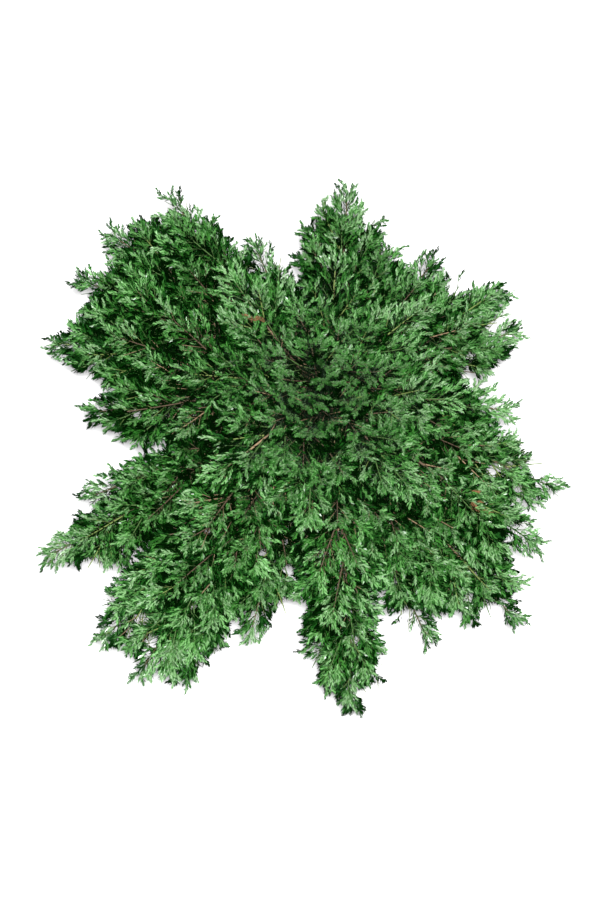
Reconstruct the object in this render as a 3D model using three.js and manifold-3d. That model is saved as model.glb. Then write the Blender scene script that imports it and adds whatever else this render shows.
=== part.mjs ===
// A carpet juniper in a plain round nursery pot, in millimetres, +Z up.
// The origin is the middle of the pot's flat underside. +Y is the north side of the plant.
import * as THREE from 'three';
import { mergeVertices } from 'three/addons/utils/BufferGeometryUtils.js';
import Module from 'manifold-3d';

// Clearance between neighbouring pieces
const GAP = 0.3;

// Pot: a tapered shell with a collar at its rim and drain holes in its floor
const POT_HEIGHT = 200;
const POT_RIM_RADIUS = 113;
const POT_FOOT_RADIUS = 86;
const POT_WALL = 2.4;
const POT_FLOOR = 3;
const COLLAR_DEPTH = 16;
const COLLAR_STEP = 3;
const COLLAR_DRAFT = 0.8;
const FOOT_BEVEL = 3;
const POT_SIDES = 32;
const DRAIN_HOLES = 8;
const DRAIN_RADIUS = 6;
const DRAIN_RING = 66;
const DRAIN_SIDES = 8;

// Compost: it fills the pot to a little under the rim, and dips beside the wall
const SOIL_TOP = 185;
const SOIL_EDGE_DIP = 4;
const SOIL_FLAT_RADIUS = 60;

// Trunk: short, leaning a little north-west, with a root flare at the compost
const TRUNK_TOP = 250;
const TRUNK_LEAN = { x: -3, y: 6 };
const TRUNK_FLARE_RADIUS = 15;
const TRUNK_FOOT_RADIUS = 9.5;
const TRUNK_TIP_RADIUS = 6.5;
const TRUNK_SIDES = 10;
const TRUNK_STEPS = 7;
const FLARE_SHARE = 0.3;

// Boughs: the outer ones leave the trunk in four tiers, each rising more steeply than the one
// below it, and the inner ones leave near its top
const TIERS = [
  { height: 200, rise: 28 },
  { height: 210, rise: 36 },
  { height: 220, rise: 44 },
  { height: 230, rise: 52 },
];
const INNER_TIER = { height: 239, rise: 64 };
const LEADER_RISE = 80;
const OUTER_BOUGH = { length: 74, foot: 3.6, tip: 2.2, handle: 0.36 };
const INNER_BOUGH = { length: 32, foot: 2.8, tip: 2, handle: 0.4 };
const LEADER_BOUGH = { length: 0, foot: 0, tip: 0, handle: 0.3 };
const BOUGH_SIDES = 6;
const BOUGH_STEPS = 3;

// Masses of foliage. Azimuth is in degrees from +X towards +Y, reach and height are the tip's.
// Sweep is how far the foot's azimuth lags the tip's, and nod is how steeply the tip points down.
// Left and right are the lengths of the longest side sprays, seen from the trunk.
const OUTER_MASSES = [
  { name: 'north', azimuth: 83, reach: 211, height: 258, sweep: 8, nod: 0, left: 50, right: 60 },
  { name: 'north_north_east', azimuth: 66, reach: 168, height: 268, sweep: 4, nod: 0, left: 50, right: 58 },
  { name: 'north_east_by_north', azimuth: 51, reach: 178, height: 256, sweep: 4, nod: 4, left: 58, right: 50 },
  { name: 'north_east', azimuth: 31, reach: 210, height: 248, sweep: 4, nod: 8, left: 58, right: 60 },
  { name: 'east_north_east', azimuth: 20, reach: 207, height: 236, sweep: -4, nod: 10, left: 80, right: 46 },
  { name: 'east', azimuth: 356, reach: 184, height: 250, sweep: -6, nod: 10, left: 26, right: 84 },
  { name: 'east_by_south', azimuth: 340, reach: 252, height: 212, sweep: -4, nod: 10, left: 24, right: 60 },
  { name: 'east_south_east', azimuth: 326, reach: 256, height: 224, sweep: 4, nod: 14, left: 26, right: 60 },
  { name: 'south_east', azimuth: 312, reach: 289, height: 196, sweep: 4, nod: 20, left: 60, right: 50 },
  { name: 'south_east_by_south', azimuth: 304, reach: 253, height: 214, sweep: 4, nod: 18, left: 46, right: 50 },
  { name: 'south_south_east', azimuth: 294, reach: 256, height: 202, sweep: 5, nod: 22, left: 50, right: 18 },
  { name: 'south', azimuth: 276, reach: 301, height: 156, sweep: -8, nod: 40, left: 40, right: 46 },
  { name: 'south_by_west', azimuth: 253, reach: 243, height: 216, sweep: 4, nod: 18, left: 46, right: 60 },
  { name: 'south_south_west', azimuth: 243, reach: 306, height: 196, sweep: 4, nod: 24, left: 14, right: 60 },
  { name: 'south_west_by_south', azimuth: 236, reach: 324, height: 204, sweep: -4, nod: 24, left: 56, right: 60 },
  { name: 'south_west', azimuth: 227, reach: 322, height: 186, sweep: -4, nod: 26, left: 64, right: 36 },
  { name: 'west_south_west', azimuth: 210, reach: 314, height: 234, sweep: -4, nod: 6, left: 56, right: 28 },
  { name: 'west_by_south', azimuth: 202, reach: 254, height: 212, sweep: -4, nod: 16, left: 50, right: 20 },
  { name: 'west', azimuth: 183, reach: 230, height: 236, sweep: 4, nod: 14, left: 56, right: 64 },
  { name: 'west_by_north', azimuth: 167, reach: 278, height: 222, sweep: 8, nod: 16, left: 52, right: 80 },
  { name: 'west_north_west', azimuth: 153, reach: 272, height: 240, sweep: 6, nod: 12, left: 60, right: 60 },
  { name: 'north_west', azimuth: 141, reach: 276, height: 230, sweep: 6, nod: 12, left: 80, right: 60 },
  { name: 'north_north_west', azimuth: 127, reach: 252, height: 262, sweep: 5, nod: 4, left: 74, right: 22 },
  { name: 'north_by_west', azimuth: 113, reach: 172, height: 246, sweep: -4, nod: 8, left: 44, right: 34 },
];
const INNER_MASSES = [
  { name: 'crown_north', azimuth: 84, reach: 120, height: 320, sweep: 8, nod: -30, left: 72, right: 72 },
  { name: 'crown_north_west', azimuth: 130, reach: 138, height: 322, sweep: -8, nod: -26, left: 76, right: 76 },
  { name: 'crown_west', azimuth: 175, reach: 132, height: 312, sweep: 8, nod: -24, left: 76, right: 76 },
  { name: 'crown_south_west', azimuth: 220, reach: 136, height: 306, sweep: -6, nod: -16, left: 76, right: 76 },
  { name: 'crown_south', azimuth: 264, reach: 134, height: 300, sweep: 6, nod: -16, left: 76, right: 76 },
  { name: 'crown_south_east', azimuth: 310, reach: 132, height: 302, sweep: -6, nod: -18, left: 76, right: 76 },
  { name: 'crown_east', azimuth: 354, reach: 126, height: 310, sweep: 8, nod: -26, left: 74, right: 74 },
  { name: 'crown_north_east', azimuth: 38, reach: 116, height: 318, sweep: -6, nod: -28, left: 72, right: 72 },
];
const LEADER = {
  name: 'crown_top', azimuth: 110, reach: 34, height: 350, sweep: 0, nod: -74, left: 60, right: 60,
};

// How each mass grows on its stem. Flatten squeezes its sprays towards the level, and the needles
// reach a little past the twigs.
const STEM_ROOT_RADIUS = 1.9;
const STEM_TIP_RADIUS = 1;
const STEM_SIDES = 3;
const STEM_STEPS = 5;
const CORE_SIDES = 5;
const CORE_STEPS = 4;
const CORE_RADIUS = 0.1;
const CORE_CELL_SHARE = 0.4;
const CORE_START = 0.05;
const CORE_END = 0.8;
const CORE_BLUNTNESS = 0.1;
const SPRAY_PITCH = 20;
const GOLDEN_ANGLE = 137.508;
const FLATTEN = 0.6;
const SPRAY_LEAN = 48;
const TIP_LEAN_LOSS = 12;
const LEAN_CHANGE = 12;
const FIRST_LENGTH = 0.7;
const FULL_LENGTH_FROM = 0.3;
const TIP_TAPER = 0.46;
const TIP_SPREAD = 11;
const ROLL_CHANGE = 60;
const TERMINAL_LENGTH = 56;
const NEEDLE_REACH = 9;
const TERMINAL_ROOT_SHARE = 0.2;
const FIRST_SPRAY = 0.7;
const SHRINK_STEPS = [1, 0.9, 0.8, 0.7, 0.6, 0.5];
const TURN_STEPS = [0, 22, -22, 44, -44];
const CELL_MARGIN = 1;
const LIMB_MARGIN = 1.6;
const RIM_MARGIN = 4;
const SPINE_POINTS = 28;
const LIMB_POINTS = 8;

// A spray: half of its outline as shares of its length and width, from its lowest tooth up,
// and the ridge along its upper face as shares of its length and thickness
const SPRAY_WIDTH_SHARE = 0.5;
const SPRAY_THICKNESS = 1.9;
const SPRAY_ROOT_THICKNESS = 1.6;
const SPRAY_CURL = 0.12;
const TOOTH_LOW = [0.42, 0.5];
const NOTCH_LOW = [0.37, 0.2];
const TOOTH_MIDDLE = [0.67, 0.4];
const NOTCH_MIDDLE = [0.62, 0.15];
const TOOTH_HIGH = [0.87, 0.22];
const RIDGE_LOW = [0.3, 1];
const RIDGE_HIGH = [0.62, 0.7];

const COLOURS = {
  pot: 0x1b1c1e,
  compost: 0x3a2a1e,
  bark: 0x6b4a33,
  outerFoliage: 0x4f8a3c,
  innerFoliage: 0x33652c,
};

const UP = new THREE.Vector3(0, 0, 1);
const radians = THREE.MathUtils.degToRad;
const wasm = await Module();
wasm.setup();

// A repeatable number from 0 to 1 for the given seed and place
function dice(seed, place) {
  const wave = Math.sin(seed * 12.9898 + place * 78.233) * 43758.5453;
  return wave - Math.floor(wave);
}

// A closed geometry as a solid that can be joined and cut
function solidOf(geometry) {
  geometry.deleteAttribute('normal');
  geometry.deleteAttribute('uv');
  const merged = mergeVertices(geometry, 1e-4);
  return new wasm.Manifold(new wasm.Mesh({
    numProp: 3,
    vertProperties: new Float32Array(merged.attributes.position.array),
    triVerts: new Uint32Array(merged.index.array),
  }));
}

// A joined or cut solid as a named mesh
function meshOf(solid, name, colour, roughness) {
  const { vertProperties, triVerts } = solid.getMesh();
  const geometry = new THREE.BufferGeometry();
  geometry.setAttribute('position', new THREE.BufferAttribute(vertProperties, 3));
  geometry.setIndex(new THREE.BufferAttribute(triVerts, 1));
  geometry.computeVertexNormals();
  const mesh = new THREE.Mesh(geometry, new THREE.MeshStandardMaterial({ color: colour, roughness }));
  mesh.name = name;
  return mesh;
}

// A profile of [radius, height] pairs turned about Z
function turned(profile, sides) {
  const points = profile.map(([radius, height]) => new THREE.Vector2(radius, height));
  return new THREE.LatheGeometry(points, sides).rotateX(Math.PI / 2);
}

function heading(azimuth) {
  return new THREE.Vector3(Math.cos(radians(azimuth)), Math.sin(radians(azimuth)), 0);
}

// A cylinder bent along a stretch of a curve, with its radius given at each share of the stretch.
// Its rings and its end faces stand square to the curve.
function limb(curve, from, to, radiusAt, sides, steps) {
  const rings = [];
  let normal = new THREE.Vector3(1, 0, 0);
  for (let i = 0; i <= steps; i++) {
    const along = THREE.MathUtils.lerp(from, to, i / steps);
    const tangent = curve.getTangentAt(along);
    if (i === 0 && Math.abs(tangent.z) < 0.9) normal = UP.clone();
    normal = normal.clone().addScaledVector(tangent, -normal.dot(tangent)).normalize();
    const binormal = new THREE.Vector3().crossVectors(normal, tangent);
    rings.push({ centre: curve.getPointAt(along), normal, binormal, radius: radiusAt(i / steps) });
  }
  const geometry = new THREE.CylinderGeometry(1, 1, 1, sides, steps);
  const position = geometry.attributes.position;
  for (let i = 0; i < position.count; i++) {
    const ring = rings[Math.round((position.getY(i) + 0.5) * steps)];
    const point = ring.centre.clone()
      .addScaledVector(ring.normal, position.getX(i) * ring.radius)
      .addScaledVector(ring.binormal, position.getZ(i) * ring.radius);
    position.setXYZ(i, point.x, point.y, point.z);
  }
  return solidOf(geometry);
}

// Radius of the pot's outer face, and of its inner one, at a height under the collar
function potOutsideAt(height) {
  return POT_FOOT_RADIUS + (POT_RIM_RADIUS - COLLAR_STEP - POT_FOOT_RADIUS) * height / POT_HEIGHT;
}

function potInsideAt(height) {
  return potOutsideAt(height) - POT_WALL;
}

function potSolid() {
  const collarFoot = POT_HEIGHT - COLLAR_DEPTH;
  let pot = solidOf(turned([
    [0, 0],
    [POT_FOOT_RADIUS - FOOT_BEVEL, 0],
    [potOutsideAt(FOOT_BEVEL), FOOT_BEVEL],
    [potOutsideAt(collarFoot), collarFoot],
    [POT_RIM_RADIUS - COLLAR_DRAFT, collarFoot],
    [POT_RIM_RADIUS, POT_HEIGHT],
    [potInsideAt(POT_HEIGHT), POT_HEIGHT],
    [potInsideAt(POT_FLOOR), POT_FLOOR],
    [0, POT_FLOOR],
  ], POT_SIDES));
  for (let i = 0; i < DRAIN_HOLES; i++) {
    const place = heading(360 * (i + 0.5) / DRAIN_HOLES).multiplyScalar(DRAIN_RING);
    const hole = new THREE.CylinderGeometry(DRAIN_RADIUS, DRAIN_RADIUS, 4 * POT_FLOOR, DRAIN_SIDES);
    hole.rotateX(Math.PI / 2).translate(place.x, place.y, 0);
    pot = pot.subtract(solidOf(hole));
  }
  return pot;
}

function compostSolid() {
  const floor = POT_FLOOR + GAP;
  const edge = SOIL_TOP - SOIL_EDGE_DIP;
  return solidOf(turned([
    [0, floor],
    [potInsideAt(floor) - GAP, floor],
    [potInsideAt(edge) - GAP, edge],
    [SOIL_FLAT_RADIUS, SOIL_TOP],
    [0, SOIL_TOP],
  ], POT_SIDES));
}

// The trunk's middle line starts upright, so that its foot is a level cut
const trunkLine = new THREE.QuadraticBezierCurve3(
  new THREE.Vector3(0, 0, SOIL_TOP + GAP),
  new THREE.Vector3(0, 0, (SOIL_TOP + TRUNK_TOP) / 2),
  new THREE.Vector3(TRUNK_LEAN.x, TRUNK_LEAN.y, TRUNK_TOP),
);

function trunkRadius(share) {
  const taper = THREE.MathUtils.lerp(TRUNK_FOOT_RADIUS, TRUNK_TIP_RADIUS, share);
  const flare = Math.max(0, 1 - share / FLARE_SHARE) ** 2;
  return taper + (TRUNK_FLARE_RADIUS - TRUNK_FOOT_RADIUS) * flare;
}

function trunkSolid(extra = 0) {
  return limb(trunkLine, 0, 1, (share) => trunkRadius(share) + extra, TRUNK_SIDES, TRUNK_STEPS);
}

// The middle line of a bough and of the mass that it carries: up and out, then over to the tip
function courseOf(mass, foot, rise, handle) {
  const tip = heading(mass.azimuth).multiplyScalar(mass.reach).setZ(mass.height);
  const span = handle * tip.distanceTo(foot);
  const start = heading(mass.azimuth - mass.sweep).multiplyScalar(Math.cos(radians(rise)));
  start.z = Math.sin(radians(rise));
  const end = heading(mass.azimuth + mass.sweep / 2).multiplyScalar(Math.cos(radians(mass.nod)));
  end.z = -Math.sin(radians(mass.nod));
  return new THREE.CubicBezierCurve3(
    foot,
    foot.clone().addScaledVector(start, span),
    tip.clone().addScaledVector(end, -span),
    tip,
  );
}

function growth(mass, tier, bough, seed) {
  const foot = trunkLine.getPointAt((tier.height - SOIL_TOP) / (TRUNK_TOP - SOIL_TOP));
  const course = courseOf(mass, foot, tier.rise, bough.handle);
  const total = course.getLength();
  const forkShare = bough.length / total;
  const spine = Array.from({ length: SPINE_POINTS + 1 }, (_, i) =>
    course.getPointAt(THREE.MathUtils.lerp(forkShare, 1, i / SPINE_POINTS)));
  return { ...mass, course, total, forkShare, spine, bough, seed };
}

const outer = OUTER_MASSES.map((mass, i) => growth(mass, TIERS[i % TIERS.length], OUTER_BOUGH, i + 1));
const inner = INNER_MASSES.map((mass, i) => growth(mass, INNER_TIER, INNER_BOUGH, i + 31));
const leader = growth(LEADER, { height: TRUNK_TOP, rise: LEADER_RISE }, LEADER_BOUGH, 41);
const boughed = [...outer, ...inner];
const masses = [...boughed, leader];

function boughSolid(plume, extra = 0) {
  const { foot, tip } = plume.bough;
  const radiusAt = (share) => THREE.MathUtils.lerp(foot, tip, Math.sqrt(share)) + extra;
  return limb(plume.course, 0, plume.forkShare, radiusAt, BOUGH_SIDES, BOUGH_STEPS);
}

// The trunk and the short inner boughs that it forks into are one piece
function forkedTrunk(extra = 0) {
  return inner.reduce((trunk, plume) => trunk.add(boughSolid(plume, extra)), trunkSolid(extra));
}

// Each outer bough is cut back from the trunk and from the boughs already made, by the gap
function boughSolids() {
  const trunk = forkedTrunk(GAP);
  const made = [];
  return outer.map((plume) => {
    let bough = boughSolid(plume).subtract(trunk);
    for (const other of made) bough = bough.subtract(other);
    made.push(boughSolid(plume, GAP));
    return bough;
  });
}

const segment = new THREE.Line3();
const nearest = new THREE.Vector3();

function distanceToLine(point, line) {
  let best = Infinity;
  for (let i = 1; i < line.length; i++) {
    segment.set(line[i - 1], line[i]).closestPointToPoint(point, true, nearest);
    best = Math.min(best, nearest.distanceTo(point));
  }
  return best;
}

const limbLines = [
  ...boughed.map((plume) => ({
    line: Array.from({ length: LIMB_POINTS + 1 }, (_, i) =>
      plume.course.getPointAt(plume.forkShare * i / LIMB_POINTS)),
    radius: plume.bough.foot,
  })),
  { line: trunkLine.getPoints(LIMB_POINTS), radius: TRUNK_FOOT_RADIUS },
];

// Whether a point is in the mass's own space: nearer to its stem than to any other,
// clear of every limb, and clear of the pot and the compost
function inOwnSpace(point, plume) {
  const flat = Math.hypot(point.x, point.y);
  if (flat < POT_RIM_RADIUS + RIM_MARGIN && point.z < POT_HEIGHT + RIM_MARGIN) return false;
  const own = distanceToLine(point, plume.spine);
  for (const { line, radius } of limbLines) {
    if (distanceToLine(point, line) < radius + LIMB_MARGIN) return false;
  }
  return masses.every((other) =>
    other === plume || distanceToLine(point, other.spine) > own + 2 * CELL_MARGIN);
}

// A spray of needles as a toothed blade with a ridge along its upper face and thin edges.
// It starts at root, runs along direction, lies square to normal and curls down to its tip.
function sprayGeometry(root, direction, normal, length) {
  const across = new THREE.Vector3().crossVectors(normal, direction);
  const place = (along, aside, above) => root.clone()
    .addScaledVector(direction, along * length)
    .addScaledVector(across, aside * SPRAY_WIDTH_SHARE * length)
    .addScaledVector(normal, above - SPRAY_CURL * length * along ** 2);
  const edge = (side) => [TOOTH_LOW, NOTCH_LOW, TOOTH_MIDDLE, NOTCH_MIDDLE, TOOTH_HIGH]
    .map(([along, aside]) => place(along, side * aside, 0));
  const points = [
    place(0, 0, SPRAY_ROOT_THICKNESS / 2),
    place(0, 0, -SPRAY_ROOT_THICKNESS / 2),
    place(1, 0, 0),
    ...edge(1),
    ...edge(-1),
    place(RIDGE_LOW[0], 0, RIDGE_LOW[1] * SPRAY_THICKNESS),
    place(RIDGE_HIGH[0], 0, RIDGE_HIGH[1] * SPRAY_THICKNESS),
  ];
  const [upper, lower, tip, left, right, low, high] = [0, 1, 2, 3, 8, 13, 14];
  const index = [
    lower, left + 1, right + 1,
    left + 1, left + 3, right + 3,
    left + 1, right + 3, right + 1,
    left + 3, tip, right + 3,
  ];
  for (const toothLow of [left, right]) {
    const [notchLow, toothMiddle, notchMiddle, toothHigh] = [1, 2, 3, 4].map((i) => toothLow + i);
    const faces = [
      [upper, low, toothLow],
      [low, notchLow, toothLow],
      [low, high, notchLow],
      [notchLow, high, toothMiddle],
      [high, notchMiddle, toothMiddle],
      [notchMiddle, high, toothHigh],
      [high, tip, toothHigh],
      [lower, toothLow, notchLow],
      [notchLow, toothMiddle, notchMiddle],
      [notchMiddle, toothHigh, tip],
      [lower, upper, toothLow],
    ];
    for (const [a, b, c] of faces) index.push(...(toothLow === left ? [a, b, c] : [a, c, b]));
  }
  const geometry = new THREE.BufferGeometry().setFromPoints(points);
  geometry.setIndex(index);
  return { geometry, points };
}

// Length of a side spray: the longest of its side, less near the stem's foot, and no more than
// what is left of the stem allows, so that the mass narrows to its tip
function sprayLength(plume, share, sideways) {
  const sided = 0.5 + 0.5 * THREE.MathUtils.clamp(2 * sideways, -1, 1);
  const longest = THREE.MathUtils.lerp(plume.left, plume.right, sided);
  const grown = Math.min(1, THREE.MathUtils.lerp(FIRST_LENGTH, 1, share / FULL_LENGTH_FROM));
  const along = THREE.MathUtils.lerp(plume.forkShare, 1 - TERMINAL_LENGTH / plume.total, share);
  return Math.min(longest * grown, TIP_TAPER * plume.total * (1 - along) + TIP_SPREAD);
}

// A spray on the mass, turned and then shortened until it fits the mass's own space
function fittedSpray(plume, root, tangent, roll, lean, twist, length) {
  const side = new THREE.Vector3().crossVectors(tangent, UP).normalize();
  const above = new THREE.Vector3().crossVectors(side, tangent);
  for (const shrink of SHRINK_STEPS) {
    for (const turn of TURN_STEPS) {
      const angle = radians(roll + turn);
      const outward = side.clone().multiplyScalar(Math.cos(angle))
        .addScaledVector(above, FLATTEN * Math.sin(angle)).normalize();
      const direction = tangent.clone().multiplyScalar(Math.cos(radians(lean)))
        .addScaledVector(outward, Math.sin(radians(lean))).normalize();
      const facing = UP.clone().applyAxisAngle(direction, radians(twist));
      const normal = facing.addScaledVector(direction, -facing.dot(direction)).normalize();
      const { geometry, points } = sprayGeometry(root, direction, normal, length * shrink);
      if (points.slice(2).every((point) => inOwnSpace(point, plume))) return solidOf(geometry);
    }
  }
  return null;
}

// The sprays of a mass: one at the tip of its stem, and others in a spiral along it
function sprays(plume) {
  const { course, forkShare, total, seed } = plume;
  const stemLength = total * (1 - forkShare) - TERMINAL_LENGTH;
  const last = 1 - TERMINAL_LENGTH / total;
  const lastTangent = course.getTangentAt(last);
  const longest = TERMINAL_LENGTH + NEEDLE_REACH;
  const made = [fittedSpray(plume, course.getPointAt(last), lastTangent, 0, 0, 0, longest)];
  const count = Math.round(stemLength / SPRAY_PITCH);
  for (let i = 0; i < count; i++) {
    const share = (i + FIRST_SPRAY) / count;
    const along = THREE.MathUtils.lerp(forkShare, last, share);
    const roll = GOLDEN_ANGLE * i + 360 * dice(seed, 0);
    const lean = SPRAY_LEAN - TIP_LEAN_LOSS * share + LEAN_CHANGE * (dice(seed, i + 1) - 0.5);
    const twist = ROLL_CHANGE * (dice(seed, i + 51) - 0.5);
    const twig = sprayLength(plume, share, Math.cos(radians(roll))) * (0.9 + 0.2 * dice(seed, i + 101));
    const root = course.getPointAt(along);
    made.push(fittedSpray(plume, root, course.getTangentAt(along), roll, lean, twist, twig + NEEDLE_REACH));
  }
  return made.filter((spray) => spray !== null);
}

// The denser heart of a mass, kept to less than half of the way to the next stem
function coreSolid(plume) {
  const { course, forkShare, left, right } = plume;
  const from = THREE.MathUtils.lerp(forkShare, 1, CORE_START);
  const to = THREE.MathUtils.lerp(forkShare, 1, CORE_END);
  const others = masses.filter((other) => other !== plume);
  const radiusAt = (share) => {
    const point = course.getPointAt(THREE.MathUtils.lerp(from, to, share));
    const room = Math.min(...others.map((other) => distanceToLine(point, other.spine)));
    const turn = Math.PI * THREE.MathUtils.lerp(CORE_BLUNTNESS, 1 - CORE_BLUNTNESS, share);
    const swell = CORE_RADIUS * Math.max(left, right) * Math.sin(turn);
    return Math.max(STEM_TIP_RADIUS, Math.min(swell, CORE_CELL_SHARE * room - CELL_MARGIN));
  };
  return limb(course, from, to, radiusAt, CORE_SIDES, CORE_STEPS);
}

function foliageSolid(plume) {
  const { course, forkShare, total } = plume;
  const foot = forkShare + GAP / total;
  const stemEnd = 1 - (1 - TERMINAL_ROOT_SHARE) * TERMINAL_LENGTH / total;
  const radiusAt = (share) => THREE.MathUtils.lerp(STEM_ROOT_RADIUS, STEM_TIP_RADIUS, share);
  let mass = limb(course, foot, stemEnd, radiusAt, STEM_SIDES, STEM_STEPS).add(coreSolid(plume));
  for (const spray of sprays(plume)) mass = mass.add(spray);
  return mass;
}

const juniper = new THREE.Group();
juniper.add(meshOf(potSolid(), 'pot', COLOURS.pot, 0.5));
juniper.add(meshOf(compostSolid(), 'compost', COLOURS.compost, 0.95));
juniper.add(meshOf(forkedTrunk(), 'trunk', COLOURS.bark, 0.85));
boughSolids().forEach((solid, i) => {
  juniper.add(meshOf(solid, `bough_${outer[i].name}`, COLOURS.bark, 0.85));
});
for (const plume of masses) {
  const colour = outer.includes(plume) ? COLOURS.outerFoliage : COLOURS.innerFoliage;
  juniper.add(meshOf(foliageSolid(plume), `foliage_${plume.name}`, colour, 0.7));
}

export default juniper;
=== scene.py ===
# A carpet juniper in a plain nursery pot, seen from almost straight above.
# Lengths are millimetres, those of the camera and the lights metres; angles are degrees; +Z is up.
import math
import bpy
import numpy as np
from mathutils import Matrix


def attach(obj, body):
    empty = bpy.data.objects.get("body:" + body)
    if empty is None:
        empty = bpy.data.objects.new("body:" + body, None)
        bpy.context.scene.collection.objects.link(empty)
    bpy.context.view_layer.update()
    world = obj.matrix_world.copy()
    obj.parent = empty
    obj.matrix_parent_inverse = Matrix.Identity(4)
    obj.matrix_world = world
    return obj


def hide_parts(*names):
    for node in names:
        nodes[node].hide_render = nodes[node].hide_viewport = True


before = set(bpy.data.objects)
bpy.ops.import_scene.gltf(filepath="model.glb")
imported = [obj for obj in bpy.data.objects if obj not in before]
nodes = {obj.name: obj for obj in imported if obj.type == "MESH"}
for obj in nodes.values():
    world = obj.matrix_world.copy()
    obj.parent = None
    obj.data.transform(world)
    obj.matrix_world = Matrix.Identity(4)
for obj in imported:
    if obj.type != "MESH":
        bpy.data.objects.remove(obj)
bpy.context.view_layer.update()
scene = bpy.context.scene
print("frame loaded:", len(nodes), "nodes")

mm = 0.001
up = np.array([0.0, 0.0, 1.0])
goldenAngle = math.radians(137.508)

# The camera hangs over the south side; focus is the fork of the trunk and where it shows in the image
view = {
    "elevation": 80.0,
    "distance": 1.9,
    "frameHeight": 0.9,          # metres seen from top to bottom of the image at the focus
    "focus": (0.0, 0.0, 0.24),
    "focusPixel": (322, 400),
    "imageSize": (600, 900),
    "sensorHeight": 36.0,
}


def addObject(name, data):
    made = bpy.data.objects.new(name, data)
    scene.collection.objects.link(made)
    return made


def placeCamera():
    tilt = math.radians(90 - view["elevation"])
    upward = np.array([0.0, math.cos(tilt), math.sin(tilt)])
    backward = np.array([0.0, -math.sin(tilt), math.cos(tilt)])
    width, height = view["imageSize"]
    perPixel = view["frameHeight"] / height
    right = (view["focusPixel"][0] - width / 2) * perPixel
    above = (height / 2 - view["focusPixel"][1]) * perPixel
    aim = np.subtract(view["focus"], (right, 0.0, 0.0)) - upward * above
    data = bpy.data.cameras.new("camera")
    data.sensor_fit = "VERTICAL"
    data.sensor_height = view["sensorHeight"]
    data.lens = view["sensorHeight"] * view["distance"] / view["frameHeight"]
    camera = addObject("camera", data)
    camera.location = aim + backward * view["distance"]
    camera.rotation_euler = (tilt, 0.0, 0.0)
    scene.camera = camera


placeCamera()
print("camera placed")


# One output of a shader's node. A sum or product of a number and a Wire adds a Math node.
class Wire:
    def __init__(self, shader, socket):
        self.shader = shader
        self.socket = socket

    def math(self, operation, number):
        return self.shader.node("Math", {0: number, 1: self}, operation=operation)

    def __radd__(self, number):
        return self.math("ADD", number)

    def __rmul__(self, number):
        return self.math("MULTIPLY", number)


class Shader:
    def __init__(self, name):
        self.material = bpy.data.materials.new(name)
        self.material.use_nodes = True
        self.tree = self.material.node_tree
        self.surface = self.tree.nodes["Principled BSDF"]

    # Any node: its type, what its sockets are fed with, the output taken and its settings
    def node(self, kind, inputs, output=0, **settings):
        made = self.tree.nodes.new("ShaderNode" + kind)
        for setting, value in settings.items():
            setattr(made, setting, value)
        self.feed(made, inputs)
        return Wire(self, made.outputs[output])

    def feed(self, made, inputs):
        for key, value in inputs.items():
            socket = made.inputs[key]
            if isinstance(value, Wire):
                self.tree.links.new(value.socket, socket)
            else:
                socket.default_value = value

    def finish(self, **inputs):
        self.feed(self.surface, {name.replace("_", " "): value for name, value in inputs.items()})
        return self.material

    # Output 3 of the node is the place in the object's own frame
    def objectPlace(self):
        return self.node("TexCoord", {}, 3)

    def stretched(self, place, scale):
        return self.node("Mapping", {"Vector": place, "Scale": scale})

    def noise(self, place, scale, detail, roughness=0.55):
        inputs = {"Vector": place, "Scale": scale, "Detail": detail, "Roughness": roughness}
        return self.node("TexNoise", inputs)

    def ramp(self, factor, stops):
        made = self.node("ValToRGB", {"Fac": factor})
        elements = made.socket.node.color_ramp.elements
        while len(elements) < len(stops):
            elements.new(1.0)
        for element, (place, colour) in zip(elements, stops):
            element.position = place
            element.color = (*colour, 1.0)
        return made

    # Sockets 6 and 7 and output 2 of the node are its colours
    def mix(self, factor, first, second):
        return self.node("Mix", {0: factor, 6: first, 7: second}, 2, data_type="RGBA")

    def bump(self, height, strength, distance):
        return self.node("Bump", {"Height": height, "Strength": strength, "Distance": distance})


def plainFinish(name, colour, roughness, specular=0.5):
    return Shader(name).finish(Base_Color=(*colour, 1.0), Roughness=roughness, Specular_IOR_Level=specular)


# One mesh object of arrays of points and triangles; choice is each triangle's material
def addMesh(name, points, triangles, materials, choice=0, smooth=True):
    mesh = bpy.data.meshes.new(name)
    mesh.vertices.add(len(points))
    mesh.vertices.foreach_set("co", np.asarray(points * mm, np.float32).ravel())
    mesh.loops.add(3 * len(triangles))
    mesh.loops.foreach_set("vertex_index", np.asarray(triangles, np.int32).ravel())
    mesh.polygons.add(len(triangles))
    mesh.polygons.foreach_set("loop_start", np.arange(0, 3 * len(triangles), 3, dtype=np.int32))
    mesh.polygons.foreach_set("use_smooth", np.full(len(triangles), smooth))
    for material in materials:
        mesh.materials.append(material)
    mesh.polygons.foreach_set("material_index", np.full(len(triangles), choice, np.int32))
    mesh.update(calc_edges=True)
    return addObject(name, mesh)


def dress(piece, slot, *replaced):
    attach(piece, "root")
    if replaced:
        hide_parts(*replaced)


# Angles of evenly spaced spokes, starting at the given share of a step
def spokesOf(sides, start=0.0):
    return math.tau * (np.arange(sides) + start) / sides


def unit(vectors):
    return vectors / np.maximum(np.linalg.norm(vectors, axis=-1, keepdims=True), 1e-12)


# The direction at each turn from the first one towards the second
def between(first, second, turn):
    return first * np.cos(turn)[..., None] + second * np.sin(turn)[..., None]


# Triangles of a grid of rows by columns whose last column is joined to its first
def gridTriangles(rows, columns):
    row, column = np.meshgrid(np.arange(rows - 1), np.arange(columns), indexing="ij")
    following = (column + 1) % columns
    a = row * columns + column
    b = row * columns + following
    c = (row + 1) * columns + following
    d = (row + 1) * columns + column
    halves = [np.stack(corners, -1).reshape(-1, 3) for corners in ([a, b, c], [a, c, d])]
    return np.concatenate(halves)


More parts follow.
